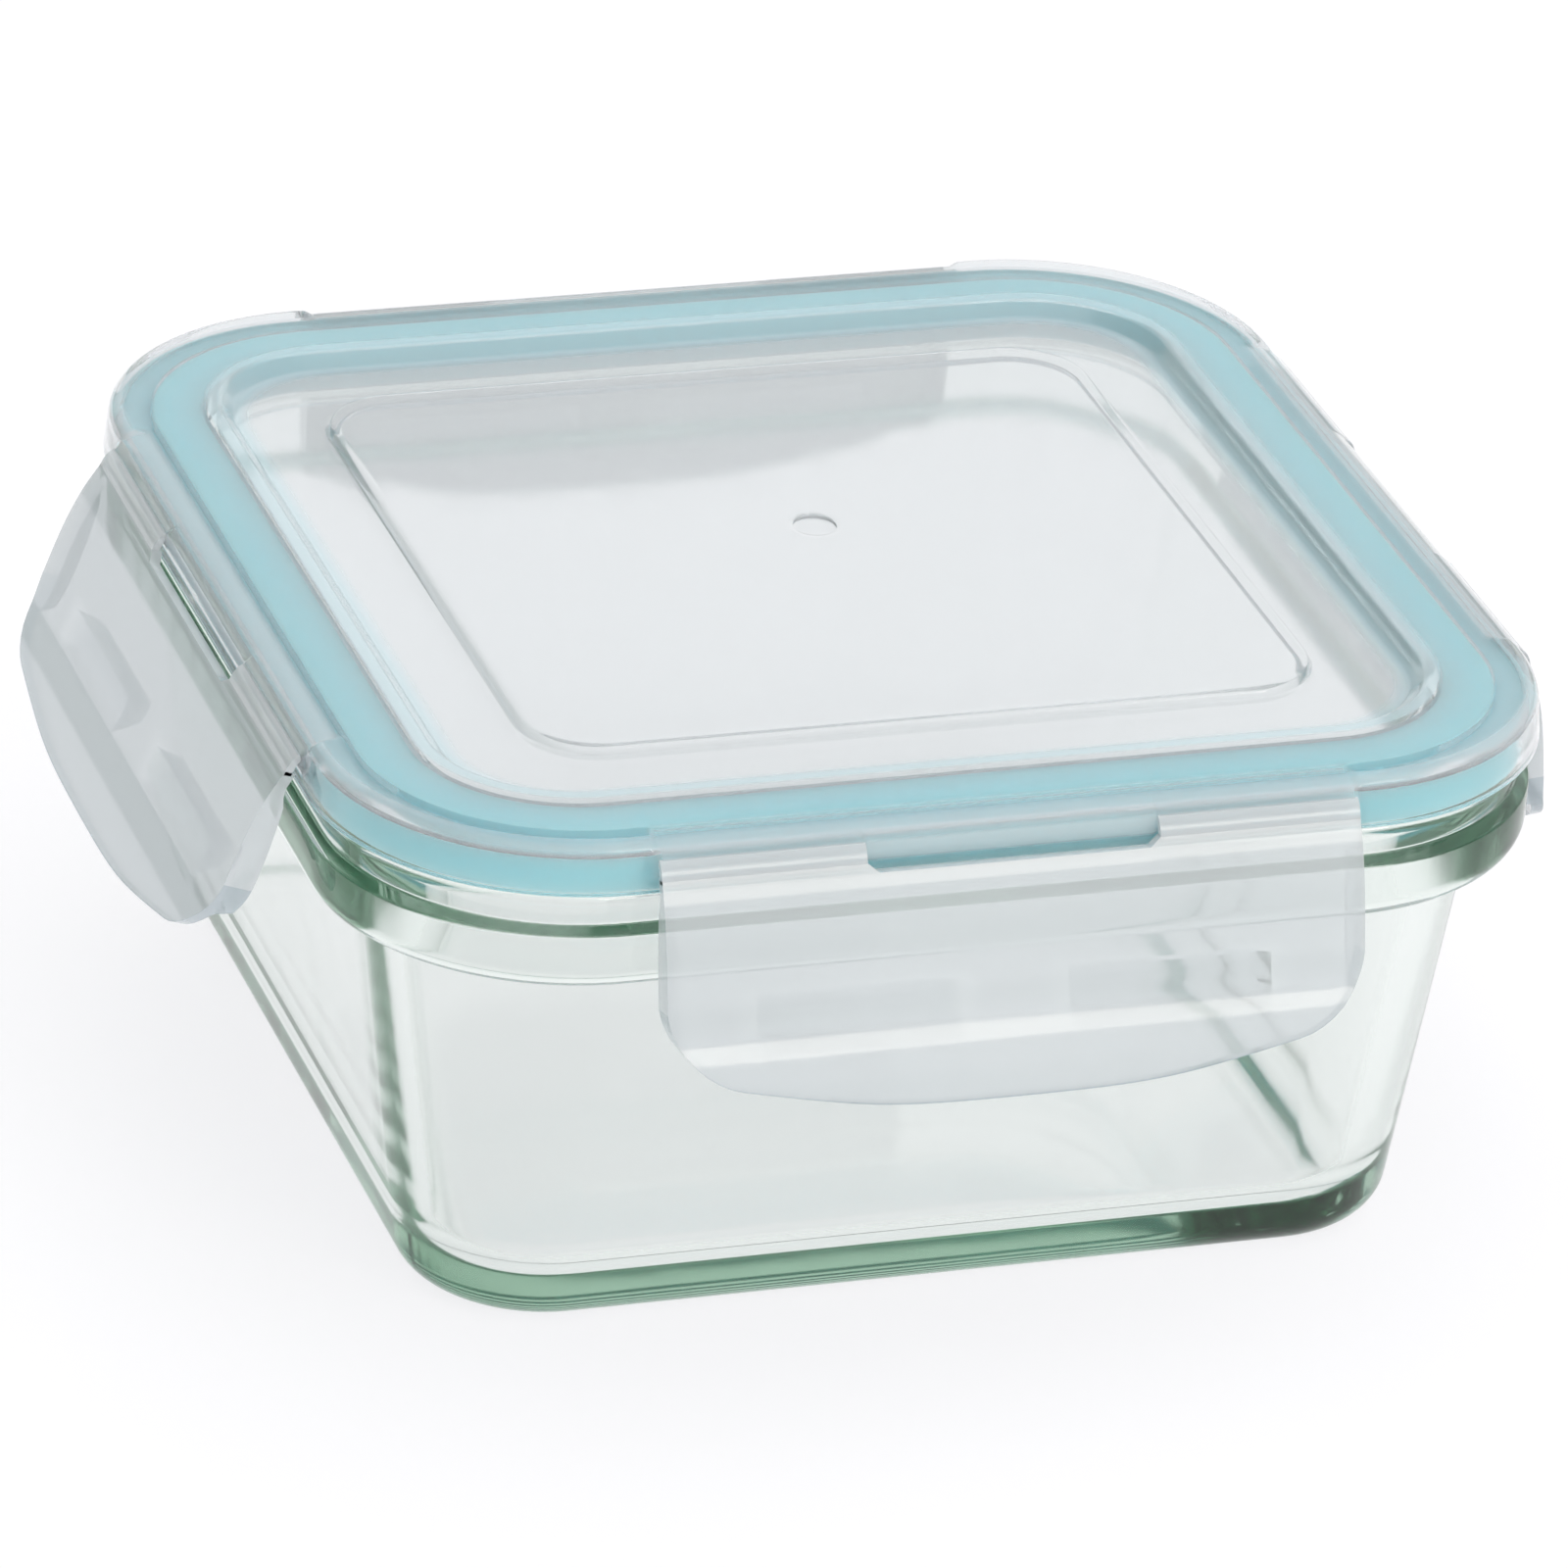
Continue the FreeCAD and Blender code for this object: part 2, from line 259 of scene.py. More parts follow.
# noise scales of the plastic's waves, milky patches and polish, and of the silicone's colour and polish
WAVE_SCALE, PATCH_SCALE, POLISH_SCALE, BLUE_SCALE, DULL_SCALE = 22, 18, 160, 30, 300
# how much of the milkiness comes from the vertex attribute and from the patches
MILK_SHARE, PATCH_SHARE = 0.5, 0.12
# the plastic's roughest spots, as a multiple of its roughness, and the silicone's range of roughness
ROUGHEST, SILICONE_ROUGHNESS = 1.7, (0.38, 0.52)
# places of the two colours among the inputs of a Mix node set to colour, and of its result
MIX_A, MIX_B, MIX_RESULT = 6, 7, 2


def tree_of(name):
    material = bpy.data.materials.new(name)
    material.use_nodes = True
    tree = material.node_tree
    return material, tree, tree.nodes["Principled BSDF"]


def set_values(shader, values):
    for key, value in values.items():
        shader.inputs[key].default_value = value


def attribute(tree, name):
    node = tree.nodes.new("ShaderNodeAttribute")
    node.attribute_name = name
    return node.outputs["Fac"]


def noise(tree, scale, detail=2.0, rough=0.5, stretch=None):
    """Noise fixed to the object, so that it stays in place when the part moves."""
    coordinates = tree.nodes.new("ShaderNodeTexCoord").outputs["Object"]
    if stretch:
        mapping = tree.nodes.new("ShaderNodeMapping")
        mapping.inputs["Scale"].default_value = stretch
        tree.links.new(coordinates, mapping.inputs["Vector"])
        coordinates = mapping.outputs["Vector"]
    node = tree.nodes.new("ShaderNodeTexNoise")
    set_values(node, {"Scale": scale, "Detail": detail, "Roughness": rough})
    tree.links.new(coordinates, node.inputs["Vector"])
    return node.outputs["Fac"]


def ranged(tree, value, low, high, start=0.3, end=0.7, smooth=False):
    """The value's range from start to end, mapped to low to high."""
    node = tree.nodes.new("ShaderNodeMapRange")
    if smooth:
        node.interpolation_type = "SMOOTHSTEP"
    set_values(node, {"From Min": start, "From Max": end, "To Min": low, "To Max": high})
    tree.links.new(value, node.inputs["Value"])
    return node.outputs["Result"]


def blended(tree, factor, colour_a, colour_b):
    """Mix of two colours; the first may be a socket."""
    node = tree.nodes.new("ShaderNodeMix")
    node.data_type = "RGBA"
    if isinstance(colour_a, bpy.types.NodeSocket):
        tree.links.new(colour_a, node.inputs[MIX_A])
    else:
        node.inputs[MIX_A].default_value = (*colour_a, 1)
    node.inputs[MIX_B].default_value = (*colour_b, 1)
    tree.links.new(factor, node.inputs["Factor"])
    return node.outputs[MIX_RESULT]


def bumped(tree, shader, heights):
    """Stack of bump nodes; each height is (value socket, distance in metres)."""
    last = None
    for value, distance in heights:
        node = tree.nodes.new("ShaderNodeBump")
        set_values(node, {"Strength": 1.0, "Distance": distance})
        tree.links.new(value, node.inputs["Height"])
        if last:
            tree.links.new(last, node.inputs["Normal"])
        last = node.outputs["Normal"]
    tree.links.new(last, shader.inputs["Normal"])


def relief(tree, waves, rough=0.5, stretch=None):
    """A height for bumped, from (noise scale, noise detail, depth)."""
    scale, detail, depth = waves
    return noise(tree, scale, detail, rough, stretch), depth


def absorbing(tree, colour, density):
    """Colour the light along its path, so that the part looks denser where it is thick."""
    absorb = tree.nodes.new("ShaderNodeVolumeAbsorption")
    set_values(absorb, {"Color": (*colour, 1), "Density": density})
    tree.links.new(absorb.outputs[0], tree.nodes["Material Output"].inputs["Volume"])


def glass_material():
    """Pressed glass; its "drawn" attribute is 1 where the walls' corners are less polished."""
    material, tree, shader = tree_of("clear_glass")
    set_values(shader, {"Base Color": (1, 1, 1, 1), "IOR": 1.5, "Transmission Weight": 1.0})
    polish = ranged(tree, attribute(tree, "drawn"), GLASS_POLISHED, GLASS_DRAWN, 0, 1)
    tree.links.new(polish, shader.inputs["Roughness"])
    bumped(tree, shader, [relief(tree, GLASS_WAVES)])
    absorbing(tree, GLASS_COLOUR, GLASS_DENSITY)
    return material


def plastic_material(name, clear, milky, thin, thick, bend, waves, rough=0.08, haze=None):
    """Milky plastic: thin and thick are how much light passes where it is clearest and milkiest.

    Waves is the depth of its slow waves, and haze the colour and density that it takes up inside.
    Its attributes are "milk" (how milky), "edge" (a darker grey-blue painted along a latch's lower edge:
    painted shade) and "glow" (the seal's blue painted in: painted light from the seal)."""
    material, tree, shader = tree_of(name)
    set_values(shader, {"IOR": bend, "Coat Weight": 1.0, "Coat Roughness": 0.07, "Coat IOR": 1.45})
    milk = attribute(tree, "milk")
    cloudy = tree.nodes.new("ShaderNodeMath")
    cloudy.operation = "MULTIPLY_ADD"
    tree.links.new(ranged(tree, noise(tree, PATCH_SCALE, detail=3.0), -0.5, 0.5), cloudy.inputs[0])
    cloudy.inputs[1].default_value = PATCH_SHARE
    tree.links.new(ranged(tree, milk, 0, 1, 0, MILK_SHARE), cloudy.inputs[2])
    colour = blended(tree, cloudy.outputs[0], clear, milky)
    # painted shade: a darker grey-blue line along a latch's lower edge
    colour = blended(tree, attribute(tree, "edge"), colour, PAINTED_EDGE_SHADE)
    # painted light: the seal's blue painted into the colour where the seal would light the plastic
    colour = blended(tree, attribute(tree, "glow"), colour, PAINTED_SEAL_LIGHT)
    tree.links.new(colour, shader.inputs["Base Color"])
    tree.links.new(ranged(tree, milk, thin, thick, 0, 1), shader.inputs["Transmission Weight"])
    polish = ranged(tree, noise(tree, POLISH_SCALE, detail=4.0, rough=0.6), rough, rough * ROUGHEST)
    tree.links.new(polish, shader.inputs["Roughness"])
    streaks = relief(tree, PLASTIC_STREAKS, rough=0.6, stretch=STREAK_STRETCH)
    bumped(tree, shader, [(noise(tree, WAVE_SCALE), waves), streaks, relief(tree, PLASTIC_GRAIN)])
    if haze:
        absorbing(tree, *haze)
    return material


def silicone_material():
    material, tree, shader = tree_of("blue_silicone")
    set_values(shader, {"IOR": 1.41, "Specular IOR Level": 0.35,
                        "Subsurface Weight": 0.8, "Subsurface Scale": 0.006,
                        "Subsurface Radius": (1.0, 1.0, 1.0)})
    colour = blended(tree, ranged(tree, noise(tree, BLUE_SCALE, detail=3.0), 0, 1), *SILICONE_BLUES)
    tree.links.new(colour, shader.inputs["Base Color"])
    dull = ranged(tree, noise(tree, DULL_SCALE, detail=3.0), *SILICONE_ROUGHNESS)
    tree.links.new(dull, shader.inputs["Roughness"])
    bumped(tree, shader, [relief(tree, SILICONE_GRAIN)])
    return material


GLASS = glass_material()
LID_PLASTIC = plastic_material(
    "lid_polypropylene", clear=(0.98, 0.985, 0.99), milky=(0.89, 0.91, 0.925),
    thin=0.985, thick=0.50, bend=1.16, waves=0.00003, haze=((0.55, 0.59, 0.61), 30))
# the latches' colours, which the hinge webs follow, are darker than the lid's: painted shade, for their
# steep sides that face away from the light
LATCH_PLASTIC = plastic_material(
    "latch_polypropylene", clear=(0.95, 0.96, 0.965), milky=(0.84, 0.87, 0.885),
    thin=0.98, thick=0.57, bend=1.03, waves=0.0001, haze=((0.50, 0.56, 0.60), 75))
WEB_PLASTIC = plastic_material(
    "hinge_polypropylene", clear=(0.90, 0.92, 0.93), milky=(0.78, 0.82, 0.835),
    thin=0.57, thick=0.57, bend=1.03, waves=0.00003)
SILICONE = silicone_material()

# ---------------------------------------------------------------- glass dish

RIM_UNDERSIDE, RIM_TOP, FLOOR = 53.4, 66.6, 4.2
DISH_SECTION = [(60.0, 0), (64.6, 0, 5.5, 9), (71.8, RIM_UNDERSIDE, 1.6, 5),
                (78.4, RIM_UNDERSIDE, 3.4, 8), (78.4, 61.2, 0.5, 4), (76.8, 62.2, 0.5, 4),
                (76.8, RIM_TOP, 2.2, 7), (68.6, RIM_TOP, 1.6, 6), (59.4, FLOOR, 8.0, 10), (50.0, FLOOR)]
# loops (across, corner radius) that fill the flat middle of the dish and of the lid
HUB_LOOPS = [(42.0, 12.0), (30.0, 14.0), (16.0, 12.0), (6.0, 6.0)]
# the heights between which the walls' corners are less polished
DRAWN_FROM, DRAWN_TO = 5.0, RIM_UNDERSIDE + 1


def make_dish():
    loops = [own(a, r, 0.0) for a, r in reversed(HUB_LOOPS)]
    loops += [shared(a, z) for a, z in rounded_line(DISH_SECTION)]
    loops += [own(a, r, FLOOR) for a, r in HUB_LOOPS]
    ring = perimeter(pitch=6.0, corner_steps=22)
    verts, faces = swept(ring, loops)
    drawn = [0.0] * len(verts)
    for i in range(len(ring) * len(loops)):
        in_corner = ring[i % len(ring)][1] is None
        if in_corner and DRAWN_FROM * MM < verts[i].z < DRAWN_TO * MM:
            drawn[i] = 1.0
    bowl = new_piece("glass_bowl", verts, faces, GLASS, "dish", ["glass_dish"], even=False, drawn=drawn)


# ---------------------------------------------------------------- silicone seal

SEAL_SECTION = [(66.4, 66.65, 0.5, 3), (77.4, 66.65, 0.5, 3), (77.4, 71.3, 0.2, 2), (76.8, 71.3, 0.2, 2),
                (76.8, 70.55), (73.0, 70.55), (73.0, 72.3, 0.3, 3), (66.4, 72.3, 0.3, 3)]


def make_seal():
    loops = [shared(a, z) for a, z in rounded_line(SEAL_SECTION, closed=True)]
    verts, faces = swept(perimeter(pitch=8.0, corner_steps=18), loops, closed=True)
    ring = new_piece("sealing_ring", verts, faces, SILICONE, "lid", ["silicone_seal"])


# ---------------------------------------------------------------- lid

# half lengths of a latch platform and of the slot in its middle, with the runs over which each ends
PLATFORM_HALF, PLATFORM_RUN = 44.6, (-0.5, 0.9)
SLOT_HALF, SLOT_RUN = 18.7, (-0.35, 0.25)
# extra stations along a side, where they end
LID_BREAKS = ([PLATFORM_HALF + d for d in (-0.5, -0.05, 0.4, 0.9)]
              + [SLOT_HALF + d for d in (-0.35, -0.05, 0.25)])
PANEL_UNDERSIDE, RAISED_TOP = 72.0, 73.3
# the edge of the raised square, as loops (across, corner radius, height), below and above
RAISED_BELOW = [(49.6, 8.0, 72.0), (50.2, 8.6, 71.6), (50.5, 8.9, 70.9), (51.0, 9.4, 70.7)]
RAISED_ABOVE = [(52.4, 10.8, 72.0), (51.9, 10.3, 72.12), (51.55, 9.95, 72.6), (51.35, 9.75, 73.05),
                (51.1, 9.5, 73.25), (50.7, 9.1, 73.3), (49.0, 9.0, 73.3)]
# the small round moulding mark, as (radius, height), and its middle
GATE_CENTRE = (1.5, 3.3)
GATE = [(4.2, 73.3), (3.1, 73.3), (2.85, 73.2), (2.75, 72.9), (2.5, 72.85), (1.2, 72.85)]
# the underside from the panel out: rib, seal channel, skirt
UNDERSIDE = [(64.7, 70.7), (64.7, 65.2, 0.4, 3), (66.1, 65.2, 0.4, 3), (66.1, 72.5), (73.2, 72.5),
             (73.2, 70.75), (73.3, 70.75), (76.6, 70.75), (76.6, 71.5), (77.7, 71.5), (77.7, 66.9, 0.2, 2),
             (79.2, 66.9, 0.5, 4), (79.0, 68.6)]
# the outside of the skirt, as (plain, under a latch platform, at the slot)
SKIRT_FACE = [((78.93, 69.3), (79.2, 69.3), (79.2, 69.3)),
              ((78.87, 69.9), (79.55, 69.95), (79.38, 69.7)),
              ((78.82, 70.5), (79.8, 70.4), (79.4, 70.4)),
              ((78.78, 71.1), (79.8, 71.3), (79.4, 71.4))]
# the shoulder above it: an arc where it is plain, a bowed slope on a platform and at the slot
SHOULDER_STEPS, SHOULDER_CENTRE, SHOULDER_RADIUS = 7, (76.65, 71.9), 2.0
SHOULDER_MILKY = 0.2, 0.95
PLATFORM_FOOT, SLOT_FOOT, PLATFORM_HEAD = (79.62, 71.72), (79.3, 71.8), (75.2, 73.56)
PLATFORM_BOW, BOW_ACROSS, BOW_UP = 0.5, 0.38, 0.92
# the top edge and the step down to the tray
RECESS = [(74.4, 73.9), (73.5, 73.9), (72.9, 73.9), (66.6, 73.9), (65.9, 73.9), (64.4, 73.9, 1.2, 6),
          (62.4, 72.0, 1.2, 6), (60.0, 72.0)]
# limits of the parts of the lid that differ in how milky they look
WALL_INSIDE, BAND_INSIDE, BAND_OUTSIDE, LEDGE_OUTSIDE, RIB_ROOT = 61.0, 66.2, 73.25, 76.7, 70.6
# how milky each looks: clearest over the seal, whitest where it is thick
MILK_RIB, MILK_BAND, MILK_SKIRT, MILK_LEDGE, MILK_PANEL = 0.0, 0.0, 0.12, 0.5, 0.5
MILK_PLATFORM, MILK_SHOULDER, MILK_WALL, MILK_SLOT = 0.55, 0.6, 0.8, 0.9
# painted light: how much of the seal's blue is painted into the tray's wall, which the seal behind it would
# light
WALL_SEAL_LIGHT = 0.7


def side_weights(station):
    """How much of a platform, and of its slot, there is at a station."""
    y = station[1]
    if y is None:
        return 0.0, 0.0
    platform = 1 - smoothstep(PLATFORM_HALF + PLATFORM_RUN[0], PLATFORM_HALF + PLATFORM_RUN[1], abs(y))
    slot = 1 - smoothstep(SLOT_HALF + SLOT_RUN[0], SLOT_HALF + SLOT_RUN[1], abs(y))
    return platform, slot


def varied(plain, platform, slot):
    """A loop that runs through three (across, height) points, as the side varies along it."""
    def place(station):
        on, cut = side_weights(station)
        across, height = line_point(line_point(plain, platform, on), slot, cut)
        return on_square(station, across, across - CORNER_CENTRE, height)
    return place


def underside_milk(across, height):
    """How milky the underside and the skirt's inside look."""
    if across < BAND_INSIDE:
        return MILK_PANEL if height > RIB_ROOT else MILK_RIB
    if across < BAND_OUTSIDE:
        return MILK_BAND
    return MILK_LEDGE if across < LEDGE_OUTSIDE else MILK_SKIRT


def recess_milk(across):
    """How milky the top edge and the step down to the tray look."""
    if across > BAND_INSIDE:
        return MILK_BAND
    return MILK_WALL if across > WALL_INSIDE else MILK_PANEL


def lid_rows():
    """Rows (loop, milk, painted seal light) from the underside's middle, round the edge, to the top's
    middle.

    The milk is for (a plain side, a platform, the slot)."""
    rows = []

    def add(loop, milk=MILK_PANEL, platform_milk=None, slot_milk=None, glow=0.0):
        on_platform = milk if platform_milk is None else platform_milk
        at_slot = milk if slot_milk is None else slot_milk
        rows.append((loop, (milk, on_platform, at_slot), glow))

    for a, r in reversed(HUB_LOOPS):
        add(own(a, r, PANEL_UNDERSIDE))
    for a, r, z in RAISED_BELOW:
        add(own(a, r, z))
    for a, z in rounded_line(UNDERSIDE):
        add(shared(a, z), underside_milk(a, z))
    for points in SKIRT_FACE:
        add(varied(*points), MILK_SKIRT, MILK_PLATFORM, MILK_SLOT)
    for k in range(SHOULDER_STEPS + 1):
        share = k / SHOULDER_STEPS
        turn = QUARTER_TURN * share
        plain = (SHOULDER_CENTRE[0] + SHOULDER_RADIUS * math.cos(turn),
                 SHOULDER_CENTRE[1] + SHOULDER_RADIUS * math.sin(turn))
        bow = PLATFORM_BOW * math.sin(math.pi * share)
        slopes = (line_point(foot, PLATFORM_HEAD, share) for foot in (PLATFORM_FOOT, SLOT_FOOT))
        platform, slot = ((a + BOW_ACROSS * bow, z + BOW_UP * bow) for a, z in slopes)
        milk = MILK_SHOULDER if SHOULDER_MILKY[0] < share < SHOULDER_MILKY[1] else MILK_SKIRT
        add(varied(plain, platform, slot), milk, MILK_PLATFORM, MILK_PLATFORM)
    for a, z in rounded_line(RECESS):
        # the tray's wall takes painted light from the seal
        add(shared(a, z), recess_milk(a), glow=WALL_SEAL_LIGHT if WALL_INSIDE < a < BAND_INSIDE else 0.0)
    for a, r, z in RAISED_ABOVE:
        add(own(a, r, z))
    # the moulding mark takes the innermost loop's place
    for a, r in HUB_LOOPS[:-1]:
        add(own(a, r, RAISED_TOP))
    for r, z in GATE:
        add(own(r, r, z, GATE_CENTRE))
    return rows


def make_lid():
    ring = perimeter(pitch=4.5, corner_steps=18, breaks=LID_BREAKS)
    rows = lid_rows()
    verts, faces = swept(ring, [loop for loop, _, _ in rows])
    milk, glow = [], []
    for _, (plain, on_platform, at_slot), glowing in rows:
        for station in ring:
            on, cut = side_weights(station)
            milk.append(plain + (on_platform - plain) * on + (at_slot - on_platform) * cut)
            glow.append(glowing)
    hubs = len(verts) - len(milk)
    milk += [MILK_PANEL] * hubs
    glow += [0.0] * hubs
    shell = new_piece("lid_shell", verts, faces, LID_PLASTIC, "lid", ["lid_panel"],
                      sharp=34, milk=milk, glow=glow)


# ---------------------------------------------------------------- latches and hinge webs

HINGE = (80.1, 70.5)
# each side's quarter turns from the right, and how many degrees its latch stands open at rest
SIDES = {"right": (0, 5.0), "back": (1, 5.0), "left": (2, 19.0), "front": (3, 12.0)}
# half length and top of a latch; depth, sloping ends and their easing of its notch at the slot
HALF, LATCH_TOP, SLOT_DROP, SLOT_CHAMFER, CHAMFER_EASE = 44.6, 69.4, 1.2, 1.4, 0.1
# lines (across, height) of the snapped-shut latch: outer face, inner face, inside of the end returns
OUTER_LINE = [(80.9, 69.4), (81.9, 65.6), (82.5, 61.5), (82.75, 57.5), (82.9, 52.2),
              (83.25, 49.4), (84.05, 46.6), (84.6, 43.6), (84.95, 39.0)]
INNER_LINE = [(79.5, 69.4), (80.35, 65.4), (80.9, 61.4), (81.15, 57.4), (81.35, 52.0),
              (81.75, 48.9), (82.6, 45.9), (83.15, 43.1), (83.6, 39.0)]
RETURN_LINE = [(80.4, 67.4), (79.3, 64.2), (79.2, 52.0), (81.0, 45.8), (83.5, 42.2), (83.6, 39.0)]
# the end returns lie below this height, and begin over this run before the latch's end
RETURN_TOP, RETURN_RUN = 67.4, (-1.9, -1.3)
# the lower edge: its height in the middle and at the ends, half its flat length, how softly it turns up
EDGE_MIDDLE, EDGE_ENDS, EDGE_FLAT, EDGE_SOFTNESS, CORNER_ROUNDING = 39.6, 45.2, 18.0, 4.0, 9.0
# a little short of a full quarter circle, so that the latch's ends keep some height
CORNER_SHARE = 0.985
# the two locking ridges inside: how far in they reach, their heights and their places along the latch
RIDGE_TIP, RIDGE_BOTTOM, RIDGE_TOP, RIDGE_NEAR, RIDGE_FAR = 77.7, 50.1, 53.9, 7.4, 32.4
# the runs of their ends and top and of the ramp below; how milky they look, and how far round them
RIDGE_RUN, RIDGE_RAMP, RIDGE_MARGIN, MILK_RIDGE = 0.5, (-2.6, 1.0), 1, 0.45
# the rows' heights are stretched between these to follow the lower edge and the slot's notch
LOW_KNEE, MID_KNEE, HIGH_KNEE, KNEE_GAP = 49.5, 58.0, 66.0, 1.4
# grid lines: along half the latch and beside its end, and up it
COLUMNS = [0, 4, RIDGE_NEAR - RIDGE_RUN, RIDGE_NEAR, RIDGE_NEAR + RIDGE_RUN, 12,
           SLOT_HALF - SLOT_CHAMFER, SLOT_HALF, 25,
           RIDGE_FAR - RIDGE_RUN, RIDGE_FAR, RIDGE_FAR + RIDGE_RUN, 35.6]
COLUMN_PITCH, TURN_STEPS, END_COLUMNS, LAST_COLUMN = 3.0, 9, (1.8, 1.3, 0.6), 0.25
LOW_ROWS, LOW_PITCH = [EDGE_MIDDLE, 39.95, 43.0, LOW_KNEE], 1.1
RIDGE_ROWS = [49.8, 50.1, 50.6, 51.4, 52.4, 53.4, 53.65, 53.9, 54.4, 55.5]
HIGH_ROWS, HIGH_PITCH, TOP_ROWS = [MID_KNEE, HIGH_KNEE], 1.4, [67.2, 68.4, LATCH_TOP]
LATCH_BEVEL, LATCH_BEVEL_STEPS, LATCH_BEVEL_ANGLE = 0.00035, 2, 55


def on_line(line, height):
    """Smooth curve through the points of a line, read at a height."""
    points = sorted((z, a) for a, z in line)
    if height <= points[0][0]:
        return points[0][1]
    if height >= points[-1][0]:
        return points[-1][1]
    for i in range(len(points) - 1):
        (z0, a0), (z1, a1) = points[i], points[i + 1]
        if z0 <= height <= z1:
            before, after = points[max(i - 1, 0)], points[min(i + 2, len(points) - 1)]
            slope0 = (a1 - before[1]) / (z1 - before[0])
            slope1 = (after[1] - a0) / (after[0] - z0)
            t, step = (height - z0) / (z1 - z0), z1 - z0
            return ((2 * t ** 3 - 3 * t ** 2 + 1) * a0 + (t ** 3 - 2 * t ** 2 + t) * step * slope0
                    + (3 * t ** 2 - 2 * t ** 3) * a1 + (t ** 3 - t ** 2) * step * slope1)


def free_edge(y):
    """Height of the latch's lower edge at a place along it."""
    reach = abs(y)
    sag = (EDGE_ENDS - EDGE_MIDDLE) / (HALF - EDGE_FLAT)
    rise = sag * EDGE_SOFTNESS * math.log(1 + math.exp((reach - EDGE_FLAT) / EDGE_SOFTNESS))
    height = EDGE_MIDDLE + rise
    inside = min(reach - (HALF - CORNER_ROUNDING), CORNER_ROUNDING)
    if inside > 0:
        height += CORNER_ROUNDING - math.sqrt(CORNER_ROUNDING ** 2 - inside ** 2 * CORNER_SHARE)
    return height


def top_edge(y):
    """Height of the latch's top edge, which is notched at the slot."""
    inside = SLOT_HALF - abs(y)
    return LATCH_TOP - SLOT_DROP * smoothstep(-CHAMFER_EASE, SLOT_CHAMFER + CHAMFER_EASE, inside)


def opened(across, height, degrees):
    """A point of the latch or a web, turned about the hinge."""
    angle = math.radians(degrees)
    out, up = across - HINGE[0], height - HINGE[1]
    return (HINGE[0] + out * math.cos(angle) - up * math.sin(angle),
            HINGE[1] + out * math.sin(angle) + up * math.cos(angle))


def side_point(across, y, height, quarter):
    """A point given as on the right side, turned to its own side."""
    a, b = across, y
    for _ in range(quarter):
        a, b = -b, a
    return Vector((a, b, height)) * MM


def latch_grid():
    """Places along the latch, and nominal heights, where its grid has lines."""
    half = spaced(COLUMNS, COLUMN_PITCH) + [HALF - d for d in END_COLUMNS]
    for k in range(1, TURN_STEPS):
        half.append(HALF - CORNER_ROUNDING + CORNER_ROUNDING * math.sin(QUARTER_TURN * k / TURN_STEPS))
    last = HALF - LAST_COLUMN
    half = sorted({round(y, 3) for y in half if y < last}) + [last, HALF]
    rows = spaced(LOW_ROWS, LOW_PITCH) + RIDGE_ROWS + spaced(HIGH_ROWS, HIGH_PITCH) + TOP_ROWS
    return [-y for y in reversed(half[1:])] + half, rows


def row_height(nominal, y):
    """Height at a place along the latch of the row with this nominal height."""
    low = free_edge(y)
    knots = [(EDGE_MIDDLE, low), (LOW_KNEE, max(LOW_KNEE, low + KNEE_GAP)), (MID_KNEE, MID_KNEE),
             (HIGH_KNEE, HIGH_KNEE), (LATCH_TOP, top_edge(y))]
    for (n0, z0), (n1, z1) in zip(knots, knots[1:]):
        if nominal <= n1:
            return z0 + (z1 - z0) * (nominal - n0) / (n1 - n0)


def outer_face(y, z):
    """How far out the latch reaches, which is the same all along it."""
    return on_line(OUTER_LINE, z)


def inner_face(y, z):
    """How far in the latch reaches: plate, end returns and the two locking ridges."""
    reach = abs(y)
    across = on_line(INNER_LINE, z)
    returned = min(across, on_line(RETURN_LINE, z)) if z < RETURN_TOP else across
    across += (returned - across) * smoothstep(HALF + RETURN_RUN[0], HALF + RETURN_RUN[1], reach)
    starts = smoothstep(RIDGE_NEAR - RIDGE_RUN, RIDGE_NEAR + RIDGE_RUN, reach)
    ends = smoothstep(RIDGE_FAR - RIDGE_RUN, RIDGE_FAR + RIDGE_RUN, reach)
    ramp = smoothstep(RIDGE_BOTTOM + RIDGE_RAMP[0], RIDGE_BOTTOM + RIDGE_RAMP[1], z)
    ledge = smoothstep(RIDGE_TOP - RIDGE_RUN, RIDGE_TOP, z)
    return across + (RIDGE_TIP - across) * starts * (1 - ends) * ramp * (1 - ledge)


def on_ridge(y, z):
    along = RIDGE_NEAR - RIDGE_MARGIN < abs(y) < RIDGE_FAR + RIDGE_MARGIN
    return along and RIDGE_BOTTOM - RIDGE_MARGIN < z < RIDGE_TOP + RIDGE_MARGIN


def shell_faces(width, tall):
    """Faces of two grids of vertices, one behind the other, joined round their border."""
    inner = width * tall
    faces = []
    for j in range(tall - 1):
        for i in range(width - 1):
            a, b = j * width + i, (j + 1) * width + i
            faces.append((a, a + 1, b + 1, b))
            faces.append((inner + a + 1, inner + a, inner + b, inner + b + 1))
    border = list(range(width)) + [j * width + width - 1 for j in range(1, tall)]
    border += [(tall - 1) * width + i for i in range(width - 2, -1, -1)]
    border += [j * width for j in range(tall - 2, 0, -1)]
    for a, b in zip(border, border[1:] + border[:1]):
        faces.append((b, a, inner + a, inner + b))
    return faces


